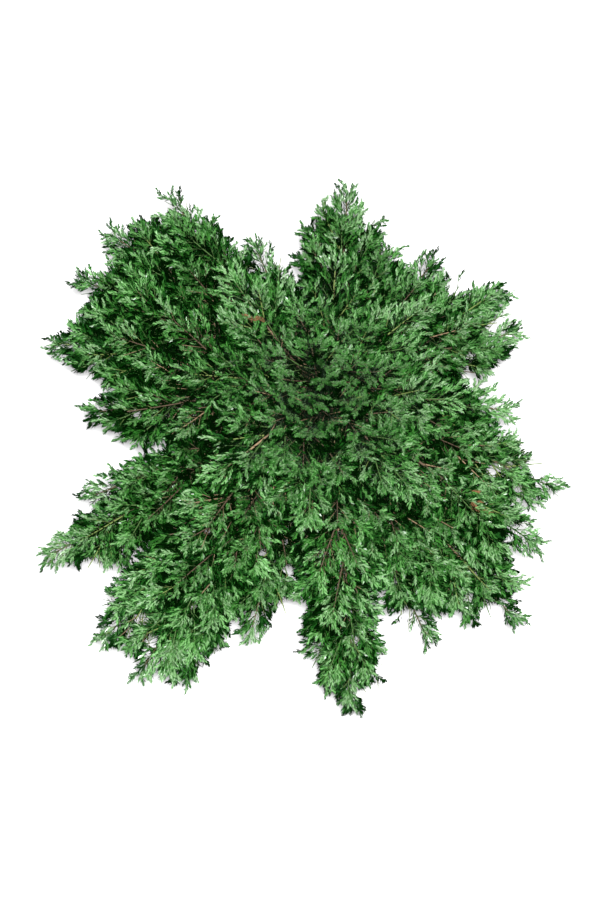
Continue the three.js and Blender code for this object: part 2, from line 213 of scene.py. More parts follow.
# Closed tubes with flat caps: rings of points square to each path, at the given radii. paths is (tubes,
# rings, 3) and radii (tubes, rings) or (tubes, rings, sides). The last value is one tube's triangles.
def tubes(paths, radii, sides):
    count, rings = paths.shape[:2]
    along = unit(np.gradient(paths, axis=1))
    steep = np.abs(along.mean(axis=1)[:, 2]) > 0.8
    helper = np.where(steep[:, None], [1.0, 0.0, 0.0], up)[:, None, :]
    side = unit(helper - (helper * along).sum(-1, keepdims=True) * along)
    other = np.cross(along, side)
    spokes = between(side[:, :, None], other[:, :, None], spokesOf(sides))
    points = paths[:, :, None] + spokes * np.atleast_3d(radii)[..., None]
    fan = np.arange(1, sides - 1)
    rootCap = np.stack([np.zeros_like(fan), fan + 1, fan], -1)
    tipCap = (rings - 1) * sides + rootCap[:, [0, 2, 1]]
    single = np.concatenate([gridTriangles(rings, sides), rootCap, tipCap])
    offsets = np.arange(count)[:, None, None] * rings * sides
    return points.reshape(-1, 3), (single + offsets).reshape(-1, 3), len(single)


def joined(parts):
    points, triangles, shift = [], [], 0
    for part in parts:
        points.append(part[0])
        triangles.append(part[1] + shift)
        shift += len(part[0])
    return np.concatenate(points), np.concatenate(triangles)


# The plant's habit, as its solids have it
trunk = {
    "foot": 185.3, "top": 250.0, "lean": (-3.0, 6.0),
    "flareRadius": 15.0, "footRadius": 9.5, "tipRadius": 6.5, "flareShare": 0.3,
}
outerTiers = [(200.0, 28.0), (210.0, 36.0), (220.0, 44.0), (230.0, 52.0)]     # height of the foot, rise
innerTiers = [(239.0, 64.0)]
leaderTiers = [(250.0, 80.0)]
outerBough = {"length": 74.0, "bare": 62.0, "foot": 3.6, "tip": 2.2, "handle": 0.36}
innerBough = {"length": 32.0, "bare": 5.0, "foot": 2.8, "tip": 2.0, "handle": 0.4}
leaderBough = {"length": 0.0, "bare": 2.0, "foot": 0.0, "tip": 0.0, "handle": 0.3}
terminalLength = 56.0

# name: azimuth, reach, height of the tip, sweep, nod, longest spray on the left and on the right, and
# how much lighter the mass is than the rest, in steps of the needles' tones
outerMasses = {
    "north": (83, 211, 258, 8, 0, 50, 60, -0.3),
    "north_north_east": (66, 168, 268, 4, 0, 50, 58, 0),
    "north_east_by_north": (51, 178, 256, 4, 4, 58, 50, 0),
    "north_east": (31, 210, 248, 4, 8, 58, 60, 0.8),
    "east_north_east": (20, 207, 236, -4, 10, 80, 46, 1.4),
    "east": (356, 184, 250, -6, 10, 26, 84, 0.8),
    "east_by_south": (340, 252, 212, -4, 10, 24, 60, 0.3),
    "east_south_east": (326, 256, 224, 4, 14, 26, 60, 0.6),
    "south_east": (312, 289, 196, 4, 20, 60, 50, 0.4),
    "south_east_by_south": (304, 253, 214, 4, 18, 46, 50, 0.6),
    "south_south_east": (294, 256, 202, 5, 22, 50, 18, 0.2),
    "south": (276, 301, 156, -8, 40, 40, 46, 0),
    "south_by_west": (253, 243, 216, 4, 18, 46, 60, 0.3),
    "south_south_west": (243, 306, 196, 4, 24, 14, 60, 1.0),
    "south_west_by_south": (236, 324, 204, -4, 24, 56, 60, 0.8),
    "south_west": (227, 322, 186, -4, 26, 64, 36, 0.6),
    "west_south_west": (210, 314, 234, -4, 6, 56, 28, 0.2),
    "west_by_south": (202, 254, 212, -4, 16, 50, 20, 0),
    "west": (183, 230, 236, 4, 14, 56, 64, -1.0),
    "west_by_north": (167, 278, 222, 8, 16, 52, 80, -0.5),
    "west_north_west": (153, 272, 240, 6, 12, 60, 60, -1.0),
    "north_west": (141, 276, 230, 6, 12, 80, 60, -1.1),
    "north_north_west": (127, 252, 262, 5, 4, 74, 22, -0.5),
    "north_by_west": (113, 172, 246, -4, 8, 44, 34, 0),
}
innerMasses = {
    "crown_north": (84, 120, 320, 8, -30, 72, 72, -0.3),
    "crown_north_west": (130, 138, 322, -8, -26, 76, 76, -0.5),
    "crown_west": (175, 132, 312, 8, -24, 76, 76, -1.2),
    "crown_south_west": (220, 136, 306, -6, -16, 76, 76, -0.9),
    "crown_south": (264, 134, 300, 6, -16, 76, 76, 0),
    "crown_south_east": (310, 132, 302, -6, -18, 76, 76, 0),
    "crown_east": (354, 126, 310, 8, -26, 74, 74, 0.6),
    "crown_north_east": (38, 116, 318, -6, -28, 72, 72, 0),
}
leaderMass = {"crown_top": (110, 34, 350, 0, -74, 60, 60, 1.8)}
coursePoints = 401      # on the middle line of each mass

# How much longer than on the solids the left and right sprays of some masses grow, where the photo
# shows foliage
fuller = {"east_by_south": (1.7, 1.0), "south": (1.0, 1.35), "south_south_east": (1.0, 1.9),
          "south_south_west": (2.0, 1.0)}
# Gaps that the background shows through, as the camera sees them: right of the trunk's fork, above
# it and radius
skyGaps = [
    (66, -268, 13), (56, -298, 16), (42, -294, 7), (-6, -290, 9), (-12, -268, 11), (32, -237, 6),
    (-34, -206, 11), (-34, -168, 6), (168, -212, 12), (134, -214, 6), (83, -210, 6), (80, -226, 8),
    (95, -233, 6), (146, -196, 6), (182, -139, 5), (197, -126, 4), (170, -69, 7), (195, -88, 5),
    (216, -65, 11), (205, -47, 7), (238, -99, 7), (186, -65, 5), (146, 27, 7), (146, 45, 5),
    (179, 35, 6), (169, 72, 6), (130, 109, 7), (69, 159, 7), (49, 183, 8), (-40, 140, 9), (-72, 129, 5),
    (-134, 199, 6), (-156, 196, 6), (-218, 131, 5), (-238, 105, 6), (-250, 27, 6), (-236, 25, 7),
    (-182, -13, 5), (-234, -106, 7), (-228, -167, 12), (-222, -205, 9), (-190, -261, 8),
    (-126, -201, 5), (-119, -266, 6), (-104, -254, 8), (-59, -149, 6), (-110, -129, 5),
]
# Where twiglets have lost their shoots and where shoots are rusty, given like the gaps
bareSpots = [(-178, -216, 8), (-168, -236, 7), (-190, -230, 5), (-34, -168, 7)]
rustySpots = [(141, -98, 8), (-60, 72, 6), (22, -28, 6)]
# Stretches of stem that show bare: their mass, then how far from the trunk's axis they start and end
bareStretches = {"crown_north_west": (18, 78), "crown_south_west": (66, 92), "south_east": (188, 232)}
bareStem = {"step": 3.0, "radius": 1.0, "sides": 8, "clearance": 2.6, "clearFrom": 2.0}
# Places where shoots are darker or lighter: given like the gaps, then the change in tones
toneSpots = [
    (6, 98, 36, -3.2), (-98, 22, 46, -2.3), (-90, -50, 36, -2.2), (76, -50, 38, -1.5),
    (-36, -88, 28, -1.3), (-138, -118, 34, -1.9), (44, 60, 32, -1.8), (-4, -10, 26, 0.8),
    (52, -124, 40, 1.3), (-62, -192, 40, 2.2), (210, -60, 30, -0.8), (-206, -262, 40, 0.6),
    (-142, -256, 38, 2.7), (16, -258, 38, 2.0), (-244, -138, 34, 1.3), (-136, 160, 38, 1.5),
    (122, -194, 50, 1.3), (98, -160, 22, -1.0), (104, -88, 30, -0.9), (160, 56, 28, 0.9),
]


def headingOf(azimuth, rise=0):
    turn, tilt = math.radians(azimuth), math.radians(rise)
    return np.array([math.cos(turn) * math.cos(tilt), math.sin(turn) * math.cos(tilt), math.sin(tilt)])


# Quadratic Bezier from the level foot of the trunk to its leaning tip
def trunkPlace(share):
    share = np.asarray(share, float)[..., None]
    low = up * trunk["foot"]
    middle = up * (trunk["foot"] + trunk["top"]) / 2
    high = np.array([*trunk["lean"], trunk["top"]])
    return (1 - share) ** 2 * low + 2 * share * (1 - share) * middle + share ** 2 * high


# The middle line of a bough and its mass: a cubic Bezier up and out from the trunk, then over to the
# tip. Gives points on it and their distances along it.
def courseOf(mass, tier, bough):
    azimuth, reach, height, sweep, nod = mass[:5]
    footHeight, rise = tier
    foot = trunkPlace((footHeight - trunk["foot"]) / (trunk["top"] - trunk["foot"]))
    tip = headingOf(azimuth) * reach + up * height
    span = bough["handle"] * np.linalg.norm(tip - foot)
    start = headingOf(azimuth - sweep, rise)
    end = headingOf(azimuth + sweep / 2, -nod)
    t = np.linspace(0, 1, coursePoints)[:, None]
    points = ((1 - t) ** 3 * foot + 3 * t * (1 - t) ** 2 * (foot + start * span)
              + 3 * t ** 2 * (1 - t) * (tip - end * span) + t ** 3 * tip)
    steps = np.linalg.norm(np.diff(points, axis=0), axis=1)
    return points, np.concatenate([[0.0], np.cumsum(steps)])


# Places along a course at distances from its foot
def placesOn(course, distance):
    points, lengths = course
    return np.stack([np.interp(distance, lengths, points[:, k]) for k in range(3)], -1)


def plumesOf(masses, tiers, bough, firstSeed):
    made = []
    for i, (name, mass) in enumerate(masses.items()):
        course = courseOf(mass, tiers[i % len(tiers)], bough)
        left, right, tone = mass[5:]
        moreLeft, moreRight = fuller.get(name, (1, 1))
        made.append({"name": name, "course": course, "total": course[1][-1], "bough": bough, "tone": tone,
                     "left": moreLeft * left, "right": moreRight * right, "seed": firstSeed + i})
    return made


outerPlumes = plumesOf(outerMasses, outerTiers, outerBough, 1)
innerPlumes = plumesOf(innerMasses, innerTiers, innerBough, 31)
leaderPlume = plumesOf(leaderMass, leaderTiers, leaderBough, 41)
plumes = outerPlumes + innerPlumes + leaderPlume


# Places as the camera sees them: right of the trunk's fork and above it
def seen(points):
    angle = math.radians(view["elevation"])
    height = points[:, 2] - view["focus"][2] / mm
    return points[:, 0], points[:, 1] * math.sin(angle) + height * math.cos(angle)


def inside(points, circles):
    right, above = seen(points)
    found = np.zeros(len(points), bool)
    for x, y, radius in circles:
        found |= np.hypot(right - x, above - y) < radius
    return found


# The middle lines of the bare stretches
def bareLines():
    made = []
    for plume in plumes:
        if plume["name"] in bareStretches:
            start, end = bareStretches[plume["name"]]
            points = placesOn(plume["course"], np.arange(0, plume["total"], bareStem["step"]))
            radius = np.hypot(points[:, 0], points[:, 1])
            made.append(points[(radius > start) & (radius < end)])
    return made


# Which points are left out: in a gap, over a bare stretch and, unless of twigs, in a bare spot
def cleared(points, ofTwigs=False):
    found = inside(points, skyGaps if ofTwigs else skyGaps + bareSpots)
    for line in bareLines():
        for x, y, height in zip(*seen(line), line[:, 2]):
            over = points[:, 2] > height - bareStem["clearFrom"]
            found |= over & inside(points, [(x, y, bareStem["clearance"])])
    return found


# A repeatable number from 0 to 1 for each seed and place, as the solids draw theirs
def dice(seed, place):
    wave = np.sin(seed * 12.9898 + np.asarray(place, float) * 78.233) * 43758.5453
    return wave - np.floor(wave)


# How the sprays leave a stem, closer together than on the solids. Up to fullFrom they are shorter, and
# none grows past the ceiling.
sprayHabit = {
    "pitch": 16.0, "finer": 3.0, "firstShare": 0.7, "lean": 48.0, "leanLoss": 12.0, "leanChange": 16.0,
    "flatten": 0.6, "firstLength": 0.7, "fullFrom": 0.3, "taper": 0.46, "tipLength": 11.0,
    "ceiling": 326.0, "shortest": 0.2, "rise": 0.10, "forward": 0.12, "leastLength": 0.8,
    "lengthChange": 0.35, "leastVigour": 0.25, "hueChange": 0.5, "toneChange": 0.7,
}


# Frame across a branch at a tangent: one direction in the plane of its spray, one out of it
def crossing(tangent, facing):
    side = unit(np.cross(tangent, facing))
    return side, np.cross(side, tangent)


# Directions of shoots about a branch: square to it, then leaning forward along it
def leaving(habit, tangent, side, above, roll, share, luck):
    outward = unit(between(side, above * habit["flatten"], roll))
    lean = habit["lean"] - habit["leanLoss"] * share + habit["leanChange"] * (luck - 0.5)
    return outward, unit(between(tangent, outward, np.radians(lean)))


def stacked(rows):
    return {key: np.concatenate([row[key] for row in rows]) for key in rows[0]}


def chosen(branches, keep):
    return {key: values[keep] for key, values in branches.items()}


# Sprays of a mass: they leave its stem in a spiral, lean forward and bend up and onward.
# A set of branches is a dictionary of arrays: base, heading, length, bend (the place on a branch at
# share s is base + length * (heading * s + bend * s * s)), facing (square to the plane that its own
# shoots spread in), mass, share (where it leaves its parent), vigour (0 old, 1 young), hue (0 deep
# green, 1 grey-green) and tone (how much lighter than its neighbours)
def spraysOf(index, plume):
    habit = sprayHabit
    seed = plume["seed"]
    course = plume["course"]
    fork = plume["bough"]["bare"]
    last = plume["total"] - terminalLength
    stem = last - fork
    count = int(round(stem / habit["pitch"] * habit["finer"]))
    i = np.arange(count)
    share = (i + habit["firstShare"]) / count
    distance = fork + stem * share
    base = placesOn(course, distance)
    tangent = unit(placesOn(course, distance + 1) - placesOn(course, distance - 1))
    side, above = crossing(tangent, up)
    roll = goldenAngle * i + math.tau * dice(seed, 0)
    outward, heading = leaving(habit, tangent, side, above, roll, share, dice(seed, i + 1))
    sided = 0.5 + 0.5 * np.clip(2 * (outward * side).sum(-1), -1, 1)
    longest = plume["left"] + (plume["right"] - plume["left"]) * sided
    grown = habit["firstLength"] + (1 - habit["firstLength"]) * share / habit["fullFrom"]
    longest = longest * np.minimum(1, grown)
    length = np.minimum(longest, habit["taper"] * (plume["total"] - distance) + habit["tipLength"])
    length = length * (habit["leastLength"] + habit["lengthChange"] * dice(seed, i + 401))
    bend = up * habit["rise"] + tangent * habit["forward"]
    climb = length * (heading + bend)[:, 2]
    room = (habit["ceiling"] - base[:, 2]) / np.maximum(climb, 1e-6)
    length = length * np.clip(room, habit["shortest"], 1)
    vigour = habit["leastVigour"] + (1 - habit["leastVigour"]) * share
    made = {"base": base, "heading": heading, "length": length, "bend": bend, "share": share,
            "vigour": vigour}
    ends = placesOn(course, np.array([last, plume["total"]]))
    tip = {"base": ends[:1], "heading": unit(ends[1:] - ends[:1]), "length": [terminalLength],
           "bend": np.zeros((1, 3)), "share": [1.0], "vigour": [1.0]}
    every = np.arange(count + 1)
    return {
        **stacked([made, tip]), "facing": np.tile(up, (count + 1, 1)), "mass": np.full(count + 1, index),
        "hue": 0.5 + habit["hueChange"] * (dice(seed, every + 601) - 0.5),
        "tone": habit["toneChange"] * (dice(seed, every + 801) - 0.5),
    }


def placeOn(branches, owner, share):
    share = share[:, None]
    reach = branches["heading"][owner] * share + branches["bend"][owner] * share ** 2
    return branches["base"][owner] + branches["length"][owner][:, None] * reach


# One place on every branch, at a share of it
def everyPlace(branches, share):
    count = len(branches["length"])
    return placeOn(branches, np.arange(count), np.full(count, share, float))


def tangentOn(branches, owner, share):
    return unit(branches["heading"][owner] + 2 * share[:, None] * branches["bend"][owner])


# Owner and order of each child, for the given number of children on each parent
def dealt(count):
    owner = np.repeat(np.arange(len(count)), count)
    order = np.arange(len(owner)) - np.repeat(np.cumsum(count) - count, count)
    return owner, order


# How far chance moves a shoot from its even place, length and looks
chance = {
    "firstPlace": 0.2, "place": 0.6, "leastLength": 0.8, "length": 0.4, "facing": 0.5,
    "leastVigour": 0.55, "vigourGain": 0.45, "vigour": 0.16, "hue": 0.7, "tone": 1.5,
}


# Side shoots on branches: evenly along each parent past its bare foot, on its two sides by turns, and
# as long as the habit says for that share
def shootsOn(parents, habit, draw):
    bare = habit["bare"]
    room = parents["length"] * (1 - bare)
    count = np.maximum(habit["fewest"], np.round(room / habit["pitch"])).astype(int)
    owner, order = dealt(count)
    number = len(owner)
    place = order + chance["firstPlace"] + chance["place"] * draw.random(number)
    share = bare + (1 - bare) * place / count[owner]
    tangent = tangentOn(parents, owner, share)
    side, above = crossing(tangent, parents["facing"][owner])
    roll = math.pi * (order + np.round(draw.random(len(count)))[owner])
    roll = roll + np.radians(habit["rollChange"]) * 2 * (draw.random(number) - 0.5)
    heading = leaving(habit, tangent, side, above, roll, share, draw.random(number))[1]
    luck = chance["leastLength"] + chance["length"] * draw.random(number)
    length = habit["length"](share, parents["length"][owner]) * luck
    bend = tangent * habit["forward"] + up * habit["rise"]
    vigour = parents["vigour"][owner] * (chance["leastVigour"] + chance["vigourGain"] * share)
    vigour = np.clip(vigour + chance["vigour"] * (draw.random(number) - 0.5), 0, 1)
    return {
        "base": placeOn(parents, owner, share), "heading": heading, "length": length, "bend": bend,
        "facing": unit(above + chance["facing"] * (draw.random((number, 3)) - 0.5)),
        "mass": parents["mass"][owner], "share": share, "vigour": vigour,
        "hue": parents["hue"][owner] + chance["hue"] * (draw.random(number) - 0.5),
        "tone": parents["tone"][owner] + chance["tone"] * (draw.random(number) - 0.5),
    }


# The last stretch of each branch, at the given length, as a shoot of its own
tipShoot = {"ofSpray": 16.0, "ofTwiglet": 10.0, "most": 0.9, "vigourGain": 0.15}


def tipsOf(parents, length):
    base = everyPlace(parents, 1 - np.minimum(tipShoot["most"], length / parents["length"]))
    along = everyPlace(parents, 1) - base
    return {
        **parents, "base": base, "heading": unit(along), "length": np.linalg.norm(along, axis=1),
        "bend": np.zeros_like(base), "share": np.ones(len(base)),
        "vigour": np.minimum(1, parents["vigour"] + tipShoot["vigourGain"]),
    }


twigletHabit = {
    "bare": 0.05, "pitch": 4.8, "fewest": 3, "lean": 44.0, "leanLoss": 14.0, "leanChange": 12.0,
    "rollChange": 36.0, "flatten": 0.6, "forward": 0.18, "rise": 0.05,
    "length": lambda share, parent: (0.45 * parent * (1 - 0.72 * share)
                                     * np.minimum(1, 0.55 + 2.2 * share) + 4),
}
budHabit = {
    "bare": 0.12, "pitch": 4.6, "fewest": 2, "lean": 30.0, "leanLoss": 8.0, "leanChange": 10.0,
    "rollChange": 50.0, "flatten": 0.6, "forward": 0.10, "rise": 0.04,
    "length": lambda share, parent: 8.6 - 2.6 * share,
}
# Needles of each kind of shoot: the shares of it that they start and end at, the distance between
# whorls of three, their lean at its foot and at its tip, their length, how much shorter the last ones
# are, their width and how far they may turn about their own length
needleTraits = ("start", "end", "whorl", "lean", "tipLean", "length", "loss", "width", "twist")
budNeedles = dict(zip(needleTraits, (0.0, 1.0, 1.6, 31.0, 11.0, 6.0, 0.30, 1.45, 40.0)))
twigletNeedles = dict(zip(needleTraits, (0.05, 0.9, 2.8, 48.0, 25.0, 7.0, 0.2, 1.15, 40.0)))
sprayNeedles = dict(zip(needleTraits, (0.05, 0.97, 2.8, 56.0, 30.0, 7.0, 0.2, 1.25, 40.0)))
oldNeedles = dict(zip(needleTraits, (0.0, 1.0, 2.3, 66.0, 40.0, 7.4, 0.1, 0.9, 35.0)))
# Where a needle is widest, and how far chance moves one
sliver = {"shoulder": 0.42, "firstTurn": 6.3, "turn": 0.5, "lean": 12.0, "leastLength": 0.85, "length": 0.3}


# Needles in whorls of three along shoots. Each is a sliver: root, shoulder to one side, sharp tip.
# It leans forward more and is shorter towards the shoot's tip. Gives their points, the shoot that each
# is on and how many tones of painted shade it takes, up to three on the shoot's sides and underside.
def needlesOn(shoots, habit, draw):
    stretch = habit["end"] - habit["start"]
    count = np.maximum(1, np.round(shoots["length"] * stretch / habit["whorl"])).astype(int)
    owner, order = dealt(count)
    share = habit["start"] + stretch * (order + 0.5) / count[owner]
    ofWhorl = np.tile(np.arange(3), len(owner))
    owner, order, share = (np.repeat(values, 3) for values in (owner, order, share))
    number = len(owner)
    root = placeOn(shoots, owner, share)
    tangent = tangentOn(shoots, owner, share)
    side, above = crossing(tangent, shoots["facing"][owner])
    turn = (ofWhorl * math.tau / 3 + order * math.pi / 3
            + sliver["firstTurn"] * draw.random(len(count))[owner]
            + sliver["turn"] * (draw.random(number) - 0.5))
    radial = between(side, above, turn)
    lean = np.radians(habit["lean"] + (habit["tipLean"] - habit["lean"]) * share
                      + sliver["lean"] * (draw.random(number) - 0.5))
    along = between(tangent, radial, lean)
    back = between(radial, -tangent, lean)
    twist = np.radians(habit["twist"]) * 2 * (draw.random(number) - 0.5)
    across = between(np.cross(along, back), back, twist)
    size = shoots["size"][owner][:, None]
    luck = sliver["leastLength"] + sliver["length"] * draw.random(number)[:, None]
    length = habit["length"] * luck * size * (1 - habit["loss"] * share)[:, None]
    hand = np.where(draw.random(number) < 0.5, -1, 1)[:, None]
    shoulder = root + along * length * sliver["shoulder"] + across * hand * habit["width"] * size
    points = np.stack([root, shoulder, root + along * length], 1)
    # Painted shade: needles on the shoot's sides and underside are one to three tones darker
    shaded = np.clip(np.round(shade["byRow"] * (0.5 - radial[:, 2])), 0, 3).astype(int)
    kept = ~cleared(root)
    return points[kept], owner[kept], shaded[kept]


draw = np.random.default_rng(7)
sprays = stacked([spraysOf(i, plume) for i, plume in enumerate(plumes)])
twiglets = stacked([shootsOn(sprays, twigletHabit, draw), tipsOf(sprays, tipShoot["ofSpray"])])
twiglets = chosen(twiglets, ~cleared(everyPlace(twiglets, 0.5), ofTwigs=True))
buds = stacked([shootsOn(twiglets, budHabit, draw), tipsOf(twiglets, tipShoot["ofTwiglet"])])

# Towards the crown's middle the inner buds of twiglets are fewer and the outer ones longer, and more
# twiglets bear old spreading needles
old = {"radius": 170.0, "drop": 1.5, "upTo": 0.65, "share": 1.4, "stretch": 0.5}


# 1 at the crown's middle and 0 from the radius outward
def wornOf(shoots):
    return np.clip(1 - np.hypot(shoots["base"][:, 0], shoots["base"][:, 1]) / old["radius"], 0, 1)


dropped = draw.random(len(buds["mass"])) < old["drop"] * wornOf(buds)
buds = chosen(buds, ~(dropped & (buds["share"] < old["upTo"])))
buds["length"] = buds["length"] * (1 + old["stretch"] * wornOf(buds))
aged = draw.random(len(twiglets["mass"])) < old["share"] * wornOf(twiglets)
oldTwiglets = chosen(twiglets, aged)
greenTwiglets = chosen(twiglets, ~aged)
hidden = [cleared(everyPlace(buds, share)) for share in (0.0, 0.5, 1.0)]
buds = chosen(buds, ~np.any(hidden, axis=0))
print("grown:", len(sprays["mass"]), "sprays,", len(twiglets["mass"]), "twiglets,",
      len(buds["mass"]), "buds,", aged.sum(), "old twiglets")

# Greens of the needles from deepest painted shade to lit, as linear base colours: painted light and
# shade on one green, each in three hues from deep green to grey-green. After them come three
# grey-greens of old needles, from painted shade to lit, and the brown of rusty ones.
needleTones = [
    (0.0005, 0.0038, 0.0004), (0.0015, 0.0130, 0.0013), (0.0054, 0.0370, 0.0048),
    (0.0146, 0.0690, 0.0099), (0.0302, 0.1100, 0.0202), (0.0580, 0.1570, 0.0425),
    (0.1110, 0.2220, 0.0890),
]
needleHues = [(0.84, 1.0, 0.78), (1.0, 1.0, 0.98), (1.15, 1.0, 1.18)]
oldTones = [(0.004, 0.008, 0.004), (0.026, 0.044, 0.026), (0.080, 0.122, 0.072), (0.130, 0.066, 0.028)]
tones = len(needleTones)
firstOld = len(needleHues) * tones
rust = firstOld + len(oldTones) - 1
needleGloss = {"roughness": 0.33, "byTone": 0.15, "oldRoughness": 0.6, "oldByTone": 0.1}
needleFinishes = []
for h, hue in enumerate(needleHues):
    for t, tone in enumerate(needleTones):
        specular = max(0.0, needleGloss["byTone"] * (t - 1))
        tint = np.multiply(tone, hue)
        needleFinishes.append(plainFinish(f"needle{h}{t}", tint, needleGloss["roughness"], specular))
for t, tone in enumerate(oldTones):
    specular = needleGloss["oldByTone"] * min(t, 2)
    needleFinishes.append(plainFinish(f"needleOld{t}", tone, needleGloss["oldRoughness"], specular))

plan = {"cell": 9.0, "cells": 120, "emptyAnyway": 0.15}
# Depths in millimetres, and by how many tones each cause darkens or lightens a shoot: painted shade by
# depth, under the shoot above, at the crown's edge and on a shoot's sides and underside, painted light
# on lit shoots near the middle, and besides these age, chance, hue and rust
shade = {
    "deepest": 50.0, "wornDeeper": 0.2, "nearest": 10.0, "byNearest": 3.3, "byVigour": 0.3, "byTone": 2.0,
    "litFrom": 0.4, "byLitMiddle": 2.6, "spotPeak": 1.3, "edgeFrom": 0.05, "byEdge": 9.0, "edgeFloor": 1.0,
    "deepLevel": 0.5, "deepByTone": 2.2, "byRow": 2.5, "hueByWorn": 0.8, "hueByEdge": 2.0,
    "rustDepth": 25.0, "rustShare": 0.4, "oldStep": 15.0,
}
swell = {"depth": 30.0, "from": 0.4, "most": 0.35}
# Offsets of tone: needles along stems and twiglets are painted darker than the buds over them, as painted
# shade
lightness = {"buds": 0.375, "stems": -0.22}


# The cell of the crown's plan that each place is over
def cellOf(places):
    cell = np.floor(places[:, :2] / plan["cell"]).astype(int) + plan["cells"] // 2
    return cell[:, 0], cell[:, 1]


# Height of the crown over each square cell of its plan, the greatest of the cell's and its neighbours',
# and the share of empty cells about it
def crownPlan(places):
    top = np.zeros((plan["cells"], plan["cells"]))
    np.maximum.at(top, cellOf(places), places[:, 2])
    empty = (top == 0).astype(float)
    highest = top.copy()
    for x, y in ((1, 0), (-1, 0), (0, 1), (0, -1)):
        highest = np.maximum(highest, np.roll(top, (x, y), (0, 1)))
    around = [np.roll(empty, (x, y), (0, 1)) for x in range(-2, 3) for y in range(-2, 3)]
    return top, highest, np.maximum(0, np.mean(around, axis=0) - plan["emptyAnyway"])


cellTop, crownTop, crownEdge = crownPlan(everyPlace(buds, 1))


# Depth of each shoot's foot under the crown's top, depth of its tip under the highest in its own cell,
# and the share of empty cells about it
def depthOf(shoots):
    tips = everyPlace(shoots, 1)
    cell = cellOf(tips)
    return crownTop[cell] - shoots["base"][:, 2], cellTop[cell] - tips[:, 2], crownEdge[cell]


# Material of each shoot: darker the deeper it is under the crown's top (painted shade) and under the
# shoot right above it (painted shadow), the older it is, and the nearer to the crown's edge (painted
# shade), where light from the side keeps it off the deepest tone. Lit shoots near the middle are
# painted lighter. Deep shoots differ by chance alone, and have larger needles.
def tintAndShade(shoots, offset):
    depth, covered, edge = depthOf(shoots)
    worn = wornOf(shoots)
    # Painted shade by depth under the crown's top, reaching deeper near the middle
    lit = 1 - np.clip(depth / (shade["deepest"] * (1 + shade["wornDeeper"] * worn)), 0, 1)
    dulled = 1 - shade["byVigour"] * (1 - shoots["vigour"]) * (1 - worn)
    # Painted shadow under the shoot right above, and painted light on lit shoots near the middle
    level = ((tones - 1) * (lit * dulled + offset) + shade["byTone"] * shoots["tone"]
             + np.where(lit > shade["litFrom"], shade["byLitMiddle"] * worn, 0)
             - shade["byNearest"] * np.clip(covered / shade["nearest"], 0, 1))
    right, above = seen(shoots["base"])
    for x, y, radius, change in toneSpots:
        distance = np.hypot(right - x, above - y)
        level = level + change * np.clip(shade["spotPeak"] - shade["spotPeak"] * distance / radius, 0, 1)
    level = level + np.array([plume["tone"] for plume in plumes])[shoots["mass"]]
    # Painted shade near the crown's edge, kept off the deepest tone there
    atEdge = np.maximum(shade["edgeFloor"], level - shade["byEdge"] * edge)
    level = np.where(edge > shade["edgeFrom"], atEdge, level)
    level = np.maximum(level, shade["deepLevel"] + shade["deepByTone"] * shoots["tone"])
    level = np.clip(np.round(level), 0, tones - 1).astype(int)
    hue = 3 * shoots["hue"] + shade["hueByWorn"] * worn + shade["hueByEdge"] * edge
    hue = np.clip(np.floor(hue), 0, len(needleHues) - 1).astype(int)
    rusty = inside(shoots["base"], rustySpots) & (depth < shade["rustDepth"])
    rusty = rusty & (draw.random(len(depth)) < shade["rustShare"])
    shoots["tint"] = np.where(rusty, rust, hue * tones + level)
    shoots["size"] = 1 + swell["most"] * np.clip(depth / swell["depth"] - swell["from"], 0, 1)


tintAndShade(buds, lightness["buds"])
tintAndShade(greenTwiglets, lightness["stems"])
tintAndShade(sprays, lightness["stems"])
# Old needles are painted darker the deeper they lie under the crown's top, as painted shade, with chance
# mixed in
sunk = depthOf(oldTwiglets)[0] / shade["oldStep"] + draw.random(aged.sum())
oldTwiglets["tint"] = rust - 1 - np.clip(sunk, 0, 2.9).astype(int)
oldTwiglets["size"] = np.ones(aged.sum())

# The first mass of each piece of needles, and the first one after it
needleGroups = {
    "north_east": (0, 4), "east": (4, 8), "south_east": (8, 11), "south": (11, 14), "south_west": (14, 17),
    "west": (17, 20), "north_west": (20, 24), "crown_north": (24, 28), "crown_south": (28, 33),
}


def growNeedles(name, masses, draw):
    points, tints = [], []
    for shoots, habit in ((sprays, sprayNeedles), (greenTwiglets, twigletNeedles), (buds, budNeedles),
                          (oldTwiglets, oldNeedles)):
        own = chosen(shoots, np.isin(shoots["mass"], list(masses)))
        made, owner, shaded = needlesOn(own, habit, draw)
        points.append(made)
        tint = own["tint"][owner]
        tints.append(tint - np.where(tint == rust, 0, np.minimum(shaded, tint % tones)))
    points = np.concatenate(points).reshape(-1, 3)
    tints = np.concatenate(tints)
    triangles = np.arange(len(points)).reshape(-1, 3)
    piece = addMesh(f"needles_{name}", points, triangles, needleFinishes, tints, smooth=False)
    dress(piece, "foliage", *[f"foliage_{plumes[k]['name']}" for k in masses])
    return len(triangles)


needleFaces = [growNeedles(name, range(*span), draw) for name, span in needleGroups.items()]
print("needles:", sum(needleFaces), "faces, most in a piece", max(needleFaces))

twigTints = {"brown": (0.060, 0.040, 0.024), "tan": (0.17, 0.115, 0.065), "green": (0.040, 0.085, 0.020),
             "fresh": (0.10, 0.14, 0.035)}
brown, tan, green, fresh = range(len(twigTints))
twigFinishes = [plainFinish(f"twig_{name}", tint, 0.75, 0.25) for name, tint in twigTints.items()]
stemSize = {"rings": 26, "root": 1.5, "tip": 0.6, "endsBefore": 8.0, "sides": 6}
spraySize = {"rings": 6, "root": 0.9, "tip": 0.45, "sides": 4}
twigletSize = {"rings": 2, "root": 0.45, "tip": 0.3, "sides": 3}
budRoot = 0.4


